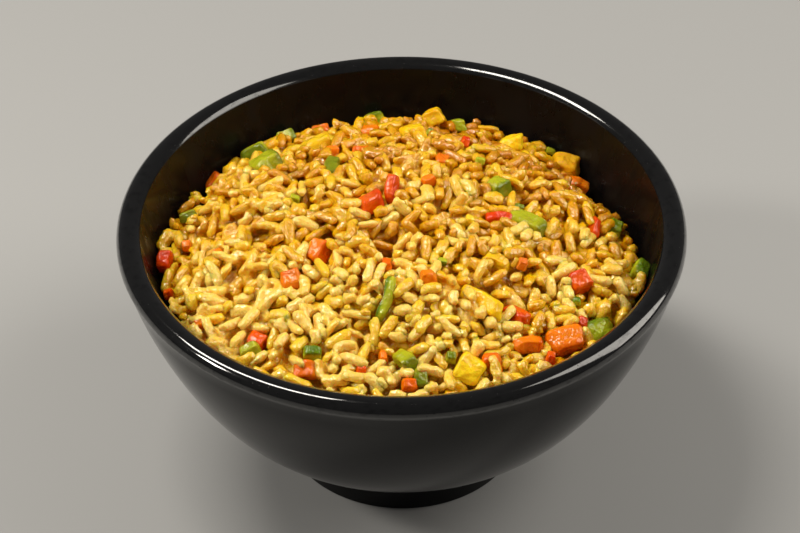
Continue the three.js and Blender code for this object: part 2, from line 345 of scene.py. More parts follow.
marks = [is_inner_wall(vertex.co) for vertex in bowl.data.vertices]
write_layer(bowl, "inner_wall", marks)
print("points of the inner wall:", sum(marks), "of", len(marks))

# %% Make the black gloss with its wear
POLISHED_BAND = 5 * MM


def bowl_looks(tree):
    inside = attribute(tree, "inner_wall")
    lip = axis(tree, 2).above(RIM_HEIGHT - POLISHED_BAND, LIP_START) * (1 - inside)
    streaks = noise(tree, 9 * MM, detail=6, stretch=(1, 1, 0.45)).above(0.46, 0.66)
    specks = noise(tree, 0.9 * MM, detail=1).above(0.68, 0.76)
    scratches = noise(tree, 2.6 * MM, detail=6, stretch=(1, 1, 3)).above(0.50, 0.68)
    film = inside * (streaks * 0.75 + 0.25)
    colour = blend(tree, film, (0.003, 0.003, 0.0033), (0.005, 0.003, 0.0016))
    scuffs = noise(tree, 14 * MM, detail=8)
    roughness = 0.08 + 0.08 * scuffs + film * 0.45 + specks * lip * 0.2
    coat = 0.05 * (1 - inside) + lip * (0.95 - 0.35 * scratches - 0.5 * specks)
    relief = noise(tree, 22 * MM, detail=2) * 0.2 + specks * lip * 0.12 + film * 0.2
    return {"Base Color": colour, "Roughness": roughness, "Coat Weight": coat,
            "Normal": bump(tree, relief, 0.15 * MM)}


GLOSS = {"IOR": 1.5, "Specular_IOR_Level": 0.12, "Coat_IOR": 1.6, "Coat_Roughness": 0.07}
bowl.data.materials.append(material("black gloss", bowl_looks, **GLOSS))
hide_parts("bowl")
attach(bowl, "root")
print("bowl material nodes:", len(bowl.data.materials[0].node_tree.nodes))

# %% [markdown]
# ## The heap's form
# The rice lies as a low dome that meets the wall lower at the back. Clumps, hollows and narrow dark pits
# break it up: some are given one by one, and many small ones are scattered. One formula gives the height of
# every place, and the core, the grains and the vegetables all use it, so they fit each other. The dome's
# own height is a second formula, because what stands over it gets painted light, paler, and what lies
# under it gets painted shade, darker.

# %% Height of the heap at a place
CROWN = 82 * MM
SIDE_LEVEL = 65 * MM
BACK_DROP, BACK_NARROWING = 4 * MM, 1.5
ROUNDNESS = 2.1
HEAP_RADIUS = 72 * MM
SURFACE_RISE = 1.9 * MM
# Place, rise and reach in mm
CLUMPS = [
    (-15, -8, 2.4, 8), (-11, -24, 1.8, 7), (-47, 34, 2.2, 8), (-43, 12, 2.4, 9), (31, -8, 1.8, 9),
    (-50, -30, 2.2, 9), (12, 42, 1.8, 9), (4, 22, 1.5, 8), (52, 14, 1.6, 8), (8, -44, 1.8, 9),
    (-28, -50, 1.6, 8),
]
HOLLOWS = [
    (-4, -14, -3, 5), (-41, -30, -2, 5), (-62, -8, -2, 6), (-33, -10, -2.4, 5), (-10, 15, -1.8, 5),
    (-5, -42, -2.2, 5), (44, -14, -2.2, 6), (30, -48, -2.2, 6), (-26, 9, -2, 5),
    (62, 32, -9, 14), (72, 8, -4, 14), (-58, 38, -4.5, 8), (36, 58, -1.6, 8),
]
PITS = [
    (-5, -12, -7, 4), (-19, -7, -6, 4), (-23, -17, -5, 3.5), (-40, -5, -5, 3), (-46, -22, -6, 4),
    (14, -24, -5, 3), (22, -30, -5, 3), (-30, 22, -5, 3.5), (12, 4, -4, 3), (36, 12, -5, 3.5),
    (46, -6, -5, 3.5), (-12, -44, -4, 3),
]
SMALL_CLUMP_COUNT, SMALL_CLUMP_SEED = 150, 5
SMALL_CLUMP_RANGES = ((-66, 66), (-66, 66), (-3.2, 2.2), (3, 7))
draw = np.random.default_rng(SMALL_CLUMP_SEED).uniform
SMALL_CLUMPS = [[draw(*ends) for ends in SMALL_CLUMP_RANGES] for _ in range(SMALL_CLUMP_COUNT)]


def dome_height(x, y):
    """Height of the even dome under the clumps. Works on single places and on whole grids."""
    back = np.maximum(np.sin(np.arctan2(y, x)), 0)
    level = SIDE_LEVEL - BACK_DROP * back**BACK_NARROWING
    out = np.minimum(np.hypot(x, y) / HEAP_RADIUS, 1)
    return level + (CROWN - level) * (1 - out**ROUNDNESS) + SURFACE_RISE


def heap_height(x, y):
    """Height of the finished heap, with its clumps and hollows."""
    height = dome_height(x, y)
    for clump_x, clump_y, rise, reach in CLUMPS + HOLLOWS + PITS + SMALL_CLUMPS:
        away = np.hypot(x - clump_x * MM, y - clump_y * MM) / (reach * MM)
        height = height + rise * MM * np.exp(-away * away)
    return height


print(f"middle of the heap at {1000 * heap_height(0, 0):.1f} mm")

# %% [markdown]
# ## The core
# Nobody sees the rice below the first layers, but light would fall through the gaps, so a solid core fills
# the bowl under them. The same ring that made the bowl makes it: up along the wall, then inwards over the
# top. The rings of the top are then raised to the heap's own form, a few grains deep.

# %% Model the core
CORE_FLOOR, CORE_EDGE = INNER_BASE + 2 * MM, 49.5 * MM
CORE_DEPTH = 5.5 * MM
WALL_GAP = 0.4 * MM
HEAPED_POINTS, SIDE_RINGS, TOP_RINGS = 96, 8, 34
INNERMOST_RING = 3 * MM


def heaped_solid(name, floor, edge, depth):
    """A closed solid that follows the wall from its floor up, with the heap's form on top."""
    widest = inner_wall(edge) - WALL_GAP
    path = [(inner_wall(z) - WALL_GAP, z) for z in np.linspace(floor, edge - 1 * MM, SIDE_RINGS)]
    path += [(radius, edge) for radius in np.linspace(widest, INNERMOST_RING, TOP_RINGS)]
    piece = pull_ring(name, path, HEAPED_POINTS, edge)
    for vertex in piece.data.vertices:
        if vertex.co.z > edge - 0.5 * MM:
            vertex.co.z = heap_height(vertex.co.x, vertex.co.y) - SURFACE_RISE - depth
    return piece


core = heaped_solid("rice_core", CORE_FLOOR, CORE_EDGE, CORE_DEPTH)
print("core faces:", len(core.data.polygons))

# %% [markdown]
# ## One grain of rice
# A cooked short grain is a plump roll, a little flat, with full ends, the blunter one where the germ sat,
# and some are broken. It could be sculpted once, but then all would look alike. Here a few models with other
# proportions are made, and each is copied hundreds of times, so it has only a few dozen faces.

# %% Model the grains
GRAIN_LENGTH = 7.3 * MM
GRAIN_WIDTH = 3.3 * MM
GRAIN_SIDES, GRAIN_RINGS = 8, 7
SHOULDER_FROM, SHOULDER_FULLNESS = 0.25, 1.12
END_FROM, END_FULLNESS, END_DRAWN_IN = 0.4, 1.2, 0.97
HALF_FROM = 0.2
CHIP_FROM, CHIP_LENGTH, CHIP_DEPTH = 0.45, 0.05, 0.08
UNEVENNESS = 0.09


@dataclass
class GrainForm:
    """How one model of a grain differs from the plain spindle. often is its share of all the grains, and
    the others are shares of the plain length or width, with blunt for the end where the germ sat."""

    often: float
    length: float
    width: float
    flatness: float
    bend: float
    blunt: float


GRAIN_FORMS = [
    GrainForm(0.17, 1.00, 1.00, 0.86, 0.00, 1.06),
    GrainForm(0.13, 1.12, 0.94, 0.84, 0.03, 1.02),
    GrainForm(0.17, 0.88, 1.04, 0.82, 0.00, 1.12),
    GrainForm(0.12, 1.04, 0.98, 0.78, 0.05, 1.04),
    GrainForm(0.12, 0.64, 0.96, 0.86, 0.00, 1.16),
    GrainForm(0.11, 0.94, 1.14, 0.66, 0.03, 1.00),
    GrainForm(0.08, 1.06, 0.88, 0.90, 0.05, 0.96),
    GrainForm(0.10, 0.44, 0.70, 0.85, 0.00, 1.10),
]


def select_where(piece, test):
    """Selects the vertices of a piece whose place passes a test, and opens edit mode."""
    bpy.ops.object.mode_set(mode="EDIT")
    bpy.ops.mesh.select_all(action="DESELECT")
    bpy.ops.object.mode_set(mode="OBJECT")
    for vertex in piece.data.vertices:
        vertex.select = test(vertex.co)
    bpy.ops.object.mode_set(mode="EDIT")


def make_grain(number, form):
    """A ball stretched to a spindle, with full shoulders and ends, one blunter half, a bend and a chip."""
    deselect_all()
    bpy.ops.mesh.primitive_uv_sphere_add(
        segments=GRAIN_SIDES, ring_count=GRAIN_RINGS, radius=0.5, rotation=(0, math.pi / 2, 0))
    piece = bpy.context.object
    piece.name = f"grain_model_{number}"
    width = GRAIN_WIDTH * form.width
    length = GRAIN_LENGTH * form.length
    piece.scale = (width * form.flatness, width, length)
    bpy.ops.object.transform_apply(location=True, rotation=True, scale=True)
    select_where(piece, lambda place: abs(place.x) > SHOULDER_FROM * length)
    bpy.ops.transform.resize(value=(1, SHOULDER_FULLNESS, SHOULDER_FULLNESS))
    select_where(piece, lambda place: abs(place.x) > END_FROM * length)
    bpy.ops.transform.resize(value=(END_DRAWN_IN, END_FULLNESS, END_FULLNESS))
    select_where(piece, lambda place: place.x > HALF_FROM * length)
    bpy.ops.transform.resize(value=(1, form.blunt, form.blunt))
    bpy.ops.transform.translate(value=(0, form.bend * width, 0))
    select_where(piece, lambda place: place.x < -HALF_FROM * length)
    bpy.ops.transform.translate(value=(0, form.bend * width, 0))
    select_where(piece, lambda place: place.x > CHIP_FROM * length and place.z > 0)
    bpy.ops.transform.translate(value=(-CHIP_LENGTH * length, 0, -CHIP_DEPTH * width))
    bpy.ops.mesh.select_all(action="SELECT")
    bpy.ops.transform.vertex_random(offset=UNEVENNESS * width, seed=number + 1)
    bpy.ops.object.mode_set(mode="OBJECT")
    return piece


grain_models = [make_grain(i, form) for i, form in enumerate(GRAIN_FORMS)]
print("faces of a grain:", len(grain_models[0].data.polygons))

# %% [markdown]
# ## Letting the rice fall
# Rice isn't laid in a pattern: each grain rolls until others hold it, and oil and egg stick some together.
# A full physics run of thousands of grains is slow, so a height map does the work. For each grain a few
# places are tried, it is lowered there until it touches, the lowest place wins, and the map is raised by the
# grain's back. A sticky grain tries only places close to the grain before it, and lies nearly along it.

# %% A height map of the heap
CELL = 0.5 * MM
MAP_HALF = 75 * MM
SEED = 7
FEELERS_ALONG, FEELERS_ACROSS = 9, 5
random = np.random.default_rng(SEED)
cell_lines = np.arange(-MAP_HALF, MAP_HALF + CELL / 2, CELL)
cell_x, cell_y = np.meshgrid(cell_lines, cell_lines, indexing="ij")
target_map = heap_height(cell_x, cell_y)
surface_map = target_map - SURFACE_RISE - CORE_DEPTH
clear_map = np.zeros(surface_map.shape, bool)


def cell_of(value):
    return np.clip(np.rint((value + MAP_HALF) / CELL).astype(int), 0, len(cell_lines) - 1)


def wall_at(height):
    """Radius of the bowl's inner wall, for a whole array of heights."""
    down = np.clip((RIM_HEIGHT - height) / (RIM_HEIGHT - INNER_BASE), 0, 1)
    return (RIM_RADIUS - LIP_WIDTH) * (1 - down**INNER_FALL) ** (1 / INNER_FULLNESS)


# Feelers reach down from the belly of a grain. Their places are shares of its half length and half width.
steps_along, steps_across = np.meshgrid(
    np.linspace(-0.92, 0.92, FEELERS_ALONG), np.linspace(-0.8, 0.8, FEELERS_ACROSS))
on_grain = steps_along**2 + steps_across**2 < 1
along, across = steps_along[on_grain], steps_across[on_grain]
belly = np.sqrt(1 - along**2 - across**2)
print("cells in the map:", surface_map.size, "feelers under a grain:", len(along))

# %% Lower a grain and see where it rests
TRIES = 7
SETTLE = 0.8 * MM
STICKY_SETTLE = 1.6 * SETTLE
STEEPEST = 0.75
CLUSTER_SPREAD, CLUSTER_TURN = 2.6 * MM, 0.5
WALL_CLEARANCE = 0.5 * MM
MOST_COVERED = 0.2
ENDS_FROM, ENDS_APART = 0.4, 0.66


@dataclass
class Grain:
    """One grain at rest. over is how far its back stands above the heap's form. own_tone is its colour from
    pale at 0 to dark at 1, which passes on to the grains that stick to it. Its last tone field is that
    colour with painted light and shade added for its place: paler on a clump and darker in a hollow."""

    form: int
    x: float
    y: float
    turn: float
    slope: float
    middle: float
    over: float
    tone: float
    own_tone: float


def places_to_try(near):
    """Places over the whole heap, or close to a grain that the next one sticks to: x, y and turn."""
    if near is None:
        out = (HEAP_RADIUS - 1 * MM) * np.sqrt(random.random(TRIES))
        angle = random.random(TRIES) * 2 * math.pi
        return out * np.cos(angle), out * np.sin(angle), random.random(TRIES) * math.pi
    offset_x, offset_y, offset_turn = random.normal(size=(3, TRIES))
    x, y = near.x + offset_x * CLUSTER_SPREAD, near.y + offset_y * CLUSTER_SPREAD
    return x, y, near.turn + CLUSTER_TURN * offset_turn


def lowest_place(length, width, near, extra_slope):
    """The best of a few places: x, y, turn, slope, height of the middle, and height over the heap."""
    x, y, turn = places_to_try(near)
    cos, sin = np.cos(turn)[:, None], np.sin(turn)[:, None]
    feeler_x = x[:, None] + along * length / 2 * cos - across * width / 2 * sin
    feeler_y = y[:, None] + along * length / 2 * sin + across * width / 2 * cos
    cells = cell_of(feeler_x), cell_of(feeler_y)
    ground = surface_map[cells]
    front, back = ground[:, along > ENDS_FROM].mean(axis=1), ground[:, along < -ENDS_FROM].mean(axis=1)
    slope = np.clip((front - back) / (ENDS_APART * length), -STEEPEST, STEEPEST) + extra_slope
    lean = slope[:, None] * along * length / 2
    settle = SETTLE if near is None else STICKY_SETTLE
    middle = (ground - lean + belly * width / 2).max(axis=1) - settle
    over = middle + width / 2 - target_map[cell_of(x), cell_of(y)]
    past_wall = np.hypot(feeler_x, feeler_y) > wall_at(middle[:, None] + lean) - WALL_CLEARANCE
    refused = past_wall.any(axis=1) | (clear_map[cells].mean(axis=1) > MOST_COVERED)
    best = np.argmin(over + refused)
    return None if refused[best] else (x[best], y[best], turn[best], slope[best], middle[best], over[best])


def raise_map(grain, length, width):
    """Adds the back of a resting grain to the height map."""
    low_x, high_x = cell_of(grain.x - length / 2), cell_of(grain.x + length / 2) + 1
    low_y, high_y = cell_of(grain.y - length / 2), cell_of(grain.y + length / 2) + 1
    window = np.s_[low_x:high_x, low_y:high_y]
    from_x, from_y = cell_x[window] - grain.x, cell_y[window] - grain.y
    cos, sin = math.cos(grain.turn), math.sin(grain.turn)
    flat_length = length / math.hypot(1, grain.slope)
    u = (from_x * cos + from_y * sin) / (flat_length / 2)
    v = (from_y * cos - from_x * sin) / (width / 2)
    inside = 1 - u * u - v * v
    back = grain.middle + grain.slope * u * flat_length / 2 + width / 2 * np.sqrt(np.maximum(inside, 0))
    surface_map[window] = np.where(inside > 0, np.maximum(surface_map[window], back), surface_map[window])


# %% Pour the first rice
STICKY_SHARE = 0.45
TIPPED_SHARE, TIPPED_SLOPES = 0.18, (0.4, 1.2)
TONE_DRIFT = 0.12
RELIEF_FOR_FULL_SHADE = 9 * MM
FIRST_POUR, LAST_POUR = 2600, 8000
grains = []
form_shares = np.array([form.often for form in GRAIN_FORMS])


def pour(count, over_least, over_most):
    """Lets grains fall. A grain that would stand higher over the heap than its own limit isn't laid."""
    laid = 0
    for _ in range(count):
        number = int(random.choice(len(GRAIN_FORMS), p=form_shares))
        form = GRAIN_FORMS[number]
        length, width = GRAIN_LENGTH * form.length, GRAIN_WIDTH * form.width
        near = grains[-1] if grains and random.random() < STICKY_SHARE else None
        limit = random.uniform(over_least, over_most)
        tipped = 0.0
        if random.random() < TIPPED_SHARE:
            tipped = random.choice((-1, 1)) * random.uniform(*TIPPED_SLOPES)
        found = lowest_place(length, width, near, tipped)
        if found is None or found[-1] > limit:
            continue
        own_tone = random.random() if near is None else near.own_tone + random.normal() * TONE_DRIFT
        # Painted light and shade: the heap's relief makes a grain on a clump paler and a grain in a hollow
        # darker.
        relief = heap_height(found[0], found[1]) - dome_height(found[0], found[1])
        tone = own_tone - relief / RELIEF_FOR_FULL_SHADE
        grain = Grain(number, *found, float(np.clip(tone, 0, 1)), own_tone)
        raise_map(grain, length, width)
        grains.append(grain)
        laid += 1
    return laid


print("first layers:", pour(FIRST_POUR, -4.6 * MM, -2.8 * MM), "grains")

# %% [markdown]
# ## The vegetables
# Carrot and red, yellow and green pepper are cut in dice and short strips, and the pan has softened and
# crinkled them. A scanned piece would be one way, but a block cut to each piece's own size keeps it at its
# true place and size. It is narrowed, its points are moved at random, and it is rounded twice, with a
# crinkled relief in between. The strips are bent sideways as the pepper's wall is, each piece is sunk in,
# and each carries two numbers for the finish: how near a point is to the skin, and how seared the piece is.

# %% Where each vegetable lies
# x, y, length and width in mm, turn and lift in degrees, then mm that it stands proud, and how seared
VEGETABLES = {
    "carrot": [
        (-24, 63, 6, 4, 0, 10), (-9, 51, 6, 5, 70, 15), (-11, 37, 7, 4, 10, 0), (12, 27, 6, 4, 80, 20),
        (52, 36, 8, 5, 10, 10), (-23, -13, 7, 6, 60, 10), (-30, -25, 7, 6, 100, 15), (-26, -54, 6, 5, 0, 10),
        (2, -60, 5, 4, 0, 0), (7, -30, 5, 4, 0, 0), (44, -41, 10, 8, 20, 5), (34, -44, 9, 5, 10, 0),
        (24, -53, 6, 5, 0, 10), (-55, 38, 7, 6, 20, 10), (-20, 37, 4, 3, 0, 0), (8, 12, 4, 3, 30, 10),
        (-5, -51, 4, 3, 90, 0), (-4, -23, 4, 3, 90, 0), (33, -19, 3, 3, 0, 0), (-55, -35, 3, 3, 0, 0),
        (-51, -9, 3, 3, 30, 0), (-61, 2, 3, 3, 0, 0),
    ],
    "red_pepper": [
        (-3, 8, 10, 4, 85, 35, 1.5), (-9, 4, 8, 7, 20, 15), (28, 0, 8, 4, -10, 10), (55, 5, 8, 3, 90, 25),
        (49, -22, 7, 6, 30, 20), (30, -35, 11, 4, -35, 0), (-39, -40, 6, 5, 60, 15), (-67, -2, 6, 5, 80, 20),
        (49, -35, 4, 3, 90, 10), (-11, -55, 3, 3, 0, 0), (40, -48, 3, 3, 0, 0), (-65, -18, 3, 3, 0, 0),
        (19, 41, 3, 3, 0, 0),
    ],
    "yellow_pepper": [
        (49, 44, 10, 9, -10, 10, 2.5, 1.0), (-24, 45, 9, 7, 10, 10), (4, 49, 8, 7, 20, 10),
        (10, 62, 6, 6, 0, 30, 3.0), (33, 47, 7, 7, -15, 15, 1.5, 0.0), (22, -34, 15, 5, -50, 5, 0.8, 0.0),
        (18, -55, 9, 8, 60, 15, 0.5, 0.0), (26, -18, 9, 4, -25, 0, -1), (7, 28, 3, 3, 0, 0),
        (19, -3, 3, 3, 0, 0),
    ],
    "green_pepper": [
        (-44, 48, 9, 4, 5, 10, 1.0), (-39, 32, 9, 8, 30, 15, 1.5), (-20, 27, 9, 5, 90, 15),
        (-8, 66, 7, 5, 0, 20), (18, 63, 5, 4, 0, 10), (28, 15, 7, 6, 45, 10), (36, -1, 11, 6, -25, 5),
        (61, 10, 6, 5, 80, 20), (67, -8, 7, 5, 80, 20), (54, -35, 10, 8, 30, 15),
        (-4, -36, 14, 3, 250, -10, 0.5, 0.0), (1, -53, 7, 5, -50, 10), (5, -58, 6, 4, 90, 15),
        (-24, -49, 5, 4, 0, 0), (-41, -45, 6, 4, 10, 10), (-61, 16, 6, 3, 0, 0), (-35, 57, 7, 4, 10, 10),
        (9, 52, 3, 2.5, 0, 0), (13, -53, 3, 3, 0, 0), (-30, 10, 3, 2, 0, 0), (11, -21, 3, 2, 0, 0),
        (45, 50, 3, 2, 0, 0), (48, -28, 3, 2, 0, 0), (33, 5, 3, 2, 0, 0), (23, 28, 3, 2, 0, 0),
    ],
}
print("vegetables:", {kind: len(rows) for kind, rows in VEGETABLES.items()})

# %% Cut one piece of vegetable
MOST_THICKNESS = 5 * MM
# Shares of the piece's own length or width
NARROWING, LEANING = (0.65, 0.95), (-0.12, 0.12)
FIRST_SHIFT, SECOND_SHIFT, CRINKLE = 0.08, 0.10, 0.3
# Lengths
MOST_CRINKLE, LAST_SHIFT = 1.6 * MM, 0.2 * MM
STRIP_FROM, NARROW_STRIP = 8 * MM, 6 * MM
NARROW_CURL, WIDE_CURL = math.radians(-40), math.radians(-18)
SKIN_SIDES = [(0, 0, 1), (0, -1, 0), (0, 0, 1), (0, 1, 0), (1, 0, 0)]


def finish_with(piece, name, kind, **settings):
    """Adds a modifier with its settings and applies it."""
    bpy.context.view_layer.objects.active = piece
    change = piece.modifiers.new(name, kind)
    for setting, value in settings.items():
        setattr(change, setting, value)
    bpy.ops.object.modifier_apply(modifier=name)


def roughen(piece, name, size, depth):
    """Moves the surface in and out by a cloud pattern whose blots are about the given size."""
    pattern = bpy.data.textures.get(name) or bpy.data.textures.new(name, "CLOUDS")
    pattern.noise_scale, pattern.noise_depth = size, 2
    finish_with(piece, name, "DISPLACE", strength=depth, mid_level=0.5, texture=pattern,
                texture_coords="LOCAL")


def round_off(piece):
    finish_with(piece, "softened", "SUBSURF", levels=1, render_levels=1)


def move_at_random(piece, most, seed):
    bpy.ops.object.mode_set(mode="EDIT")
    bpy.ops.mesh.select_all(action="SELECT")
    bpy.ops.transform.vertex_random(offset=most, seed=seed)
    bpy.ops.object.mode_set(mode="OBJECT")


def cut_piece(name, length, width, seed):
    """A softened block with its length along X. Its skin is on one of its sides."""
    thickness = min(width, MOST_THICKNESS)
    deselect_all()
    bpy.ops.mesh.primitive_cube_add(size=1)
    piece = bpy.context.object
    piece.name = name
    piece.scale = (length, width, thickness)
    bpy.ops.object.transform_apply(location=True, rotation=True, scale=True)
    select_where(piece, lambda place: place.z > 0)
    bpy.ops.transform.resize(value=(random.uniform(*NARROWING), random.uniform(*NARROWING), 1))
    bpy.ops.transform.translate(value=(random.uniform(*LEANING) * length, 0, 0))
    bpy.ops.mesh.select_all(action="SELECT")
    bpy.ops.transform.vertex_random(offset=FIRST_SHIFT * width, seed=seed)
    bpy.ops.mesh.subdivide(number_cuts=2)
    bpy.ops.object.mode_set(mode="OBJECT")
    move_at_random(piece, SECOND_SHIFT * width, seed + 1)
    round_off(piece)
    roughen(piece, "crinkles", 3 * MM, min(CRINKLE * width, MOST_CRINKLE))
    move_at_random(piece, LAST_SHIFT, seed + 2)
    round_off(piece)
    if length >= STRIP_FROM:
        curl = NARROW_CURL if width < NARROW_STRIP else WIDE_CURL
        finish_with(piece, "curl", "SIMPLE_DEFORM", deform_method="BEND", deform_axis="Z", angle=curl)
    side = Vector(SKIN_SIDES[seed % len(SKIN_SIDES)])
    reach = abs(side.dot((length, width, thickness)))
    shares = np.array([side.dot(vertex.co) / reach + 0.5 for vertex in piece.data.vertices])
    write_layer(piece, "skin", np.clip(shares, 0, 1))
    return piece


# %% Sink the pieces into the rice
VEGETABLE_SINK = 0.80
MOST_ROLL = 16
COVERED, CLEARED = 0.6, 0.4
MOST_SEARED = 0.7


def slope_at(x, y, step=2 * MM):
    """How steeply the heap rises along X and along Y."""
    rise_x = (heap_height(x + step, y) - heap_height(x - step, y)) / (2 * step)
    rise_y = (heap_height(x, y + step) - heap_height(x, y - step)) / (2 * step)
    return rise_x, rise_y


def block_cells(x, y, turn, length, width):
    """The cells of the map under a turned block."""
    from_x, from_y = cell_x - x, cell_y - y
    u = from_x * math.cos(turn) + from_y * math.sin(turn)
    v = from_y * math.cos(turn) - from_x * math.sin(turn)
    return (np.abs(u) < length / 2) & (np.abs(v) < width / 2)


def lay_vegetable(name, row, seed):
    """Cuts a piece, lays it on the heap with the slope, and raises the map under its middle."""
    x, y, length, width = (value * MM for value in row[:4])
    turn, lift = (math.radians(value) for value in row[4:6])
    proud = row[6] * MM if len(row) > 6 else 0.0
    piece = cut_piece(name, length, width, seed)
    seared = row[7] if len(row) > 7 else MOST_SEARED * random.random() ** 2
    write_layer(piece, "seared", np.full(len(piece.data.vertices), seared))
    thickness = min(width, MOST_THICKNESS)
    rise_x, rise_y = slope_at(x, y)
    lean = Vector((0, 0, 1)).rotation_difference(Vector((-rise_x, -rise_y, 1))).to_matrix()
    roll = math.radians(random.uniform(-MOST_ROLL, MOST_ROLL))
    lifted = Matrix.Rotation(turn, 3, "Z") @ Matrix.Rotation(-lift, 3, "Y")
    turned = lean @ lifted @ Matrix.Rotation(roll, 3, "X")
    middle = heap_height(x, y) + thickness * (0.5 - VEGETABLE_SINK) + proud
    piece.matrix_world = Matrix.Translation((x, y, middle)) @ turned.to_4x4()
    bpy.ops.object.transform_apply(location=True, rotation=True, scale=True)
    under = block_cells(x, y, turn, COVERED * length, COVERED * width)
    surface_map[under] = np.maximum(surface_map[under], middle + 0.4 * thickness)
    clear_map[block_cells(x, y, turn, CLEARED * length, CLEARED * width)] = True
    return piece


def triangles(piece):
    return sum(len(face.vertices) - 2 for face in piece.data.polygons)


def join_pieces(name, parts):
    select_only(*parts)
    bpy.ops.object.join()
    joined = bpy.context.object
    joined.name = joined.data.name = name
    bpy.ops.object.shade_smooth()
    return joined


vegetables = {}
for kind, rows in VEGETABLES.items():
    parts = [lay_vegetable(f"{kind}_{i}", row, seed=3 * i + 1) for i, row in enumerate(rows)]
    vegetables[kind] = join_pieces(f"{kind}_dice", parts)
    print(kind, "triangles:", triangles(vegetables[kind]))

# %% Pour the last rice round the vegetables
print("last layers:", pour(LAST_POUR, -2.0 * MM, 1.8 * MM), "grains")
print("all grains:", len(grains))

# %% [markdown]
# ## Copying the grains
# Thousands of separate objects would make the scene slow, so many grains are one mesh. The corners of the
# model are bowed, dented, turned and moved for each copy, all at once, and three numbers go with them: the
# grain's tone with its painted light and shade, how deep it lies, which the finish turns into painted shade,
# and how near a corner is to the grain's tip, for the finish to read.

# %% Join the copies of the grains
SMALLEST_COPY, LARGEST_COPY = 0.9, 1.1
BOW, DENT = 0.03, 0.035
MOST_GRAIN_ROLL = 1.2
# Depth under the heap's form at which a grain's painted shade is full
FULL_SHADE_DEPTH = 4 * MM


def crooked(points, swell):
    """The corners of a model, bowed and dented for one copy. swell makes it thicker all round."""
    size = points.max(axis=0) - points.min(axis=0)
    own = points * (1 + 2 * swell / size) * random.uniform(SMALLEST_COPY, LARGEST_COPY, 3)
    bow = random.normal(size=2) * BOW * size[0] * np.cos(points[:, :1] / size[0] * math.pi)
    own[:, 1:] += bow - bow.mean(axis=0)
    return own + random.normal(size=points.shape) * DENT * size[1]


def turned_corners(grain, points):
    """The corners of a grain at the grain's own place, with a random roll about its length."""
    forward = Vector((math.cos(grain.turn), math.sin(grain.turn), grain.slope)).normalized()
    side = Vector((-math.sin(grain.turn), math.cos(grain.turn), 0))
    up = forward.cross(side)
    roll = random.uniform(-MOST_GRAIN_ROLL, MOST_GRAIN_ROLL)
    basis = Matrix((forward, side * math.cos(roll) + up * math.sin(roll),
                    up * math.cos(roll) - side * math.sin(roll)))
    return points @ np.array(basis) + (grain.x, grain.y, grain.middle)


def copy_grains(name, chosen, swell=0.0):
    """One mesh with a copy of its model for each of the chosen grains."""
    corners, faces = [], []
    layers = {"tone": [], "depth": [], "tip": []}
    total = 0
    for grain in chosen:
        model = grain_models[grain.form].data
        points = np.array([vertex.co for vertex in model.vertices])
        corners.append(turned_corners(grain, crooked(points, swell)))
        faces += [[corner + total for corner in face.vertices] for face in model.polygons]
        layers["tone"].append(np.full(len(points), grain.tone))
        # Painted shade: the deeper a grain lies under the heap's form, the darker the finish makes it.
        layers["depth"].append(np.full(len(points), np.clip(-grain.over / FULL_SHADE_DEPTH, 0, 1)))
        layers["tip"].append(np.abs(points[:, 0]) / np.abs(points[:, 0]).max())
        total += len(points)
    mesh = bpy.data.meshes.new(name)
    mesh.from_pydata(np.concatenate(corners), [], faces)
    piece = bpy.data.objects.new(name, mesh)
    scene.collection.objects.link(piece)
    for layer_name, values in layers.items():
        write_layer(piece, layer_name, np.concatenate(values))
    select_only(piece)
    bpy.ops.object.shade_smooth()
    return piece


# %% Part the loose grains from those that stick
PRESSED_DEPTH = 1.6 * MM
STUCK_AT_RIGHT, MORE_AT_LEFT = 0.2, 0.36
LEFT_FROM, LEFT_SPAN = 25 * MM, 80 * MM
TONE_MIXING = 0.25


def sticks(grain):
    """Deep grains are pressed together, and of those on top more stick at the left than at the right."""
    to_left = np.clip((LEFT_FROM - grain.x) / LEFT_SPAN, 0, 1)
    return grain.over < -PRESSED_DEPTH or random.random() < STUCK_AT_RIGHT + MORE_AT_LEFT * to_left


stuck, loose = [], []
for grain in grains:
    (stuck if sticks(grain) else loose).append(grain)
# The split follows the tone that holds the painted light and shade, so the amber batch also gathers the
# grains in hollows.
loose.sort(key=lambda grain: grain.tone + TONE_MIXING * random.normal())
half = len(loose) // 2
batches = {
    "rice_pale": copy_grains("rice_pale", loose[:half]),
    "rice_amber": copy_grains("rice_amber", loose[half:]),
}
print("loose grains:", len(loose), "stuck grains:", len(stuck))

# %% [markdown]
# ## Rice that sticks together
# Starch and egg glue the grains into lumps, with soft creases where two grains meet. Separate copies only
# touch, so the stuck ones and a pad under them are fused: all are swollen a little, remeshed as one skin,
# smoothed, and drawn in again by as much. That closes the narrow gaps, and a fine relief roughens the skin.
# The fused mesh has far more faces than it needs, so it is thinned. That leaves a few scraps, which go.

# %% Fuse the stuck grains
SWELL = 0.14 * MM
FUSE_CELL = 0.45 * MM
PAD_FLOOR, PAD_EDGE = 50.5 * MM, 52.5 * MM
PAD_DEPTH = 4.6 * MM

stuck_copies = copy_grains("rice_stuck", stuck, SWELL)
pad = heaped_solid("rice_pad", PAD_FLOOR, PAD_EDGE, PAD_DEPTH)
from_grain = KDTree(len(stuck_copies.data.vertices))
for vertex in stuck_copies.data.vertices:
    from_grain.insert(vertex.co, vertex.index)
from_grain.balance()
grain_values = {}
for layer_name in ("tone", "depth", "tip"):
    values = np.zeros(len(stuck_copies.data.vertices), np.float32)
    stuck_copies.data.attributes[layer_name].data.foreach_get("value", values)
    grain_values[layer_name] = values
sticky = join_pieces("rice_stuck", [stuck_copies, pad])
finish_with(sticky, "fused", "REMESH", mode="VOXEL", voxel_size=FUSE_CELL, use_smooth_shade=True)
print("fused skin:", triangles(sticky), "triangles")

# %% Smooth the fused rice, roughen it and thin it
PAD_CUT = 51.5 * MM
MOST_TRIANGLES = 190000

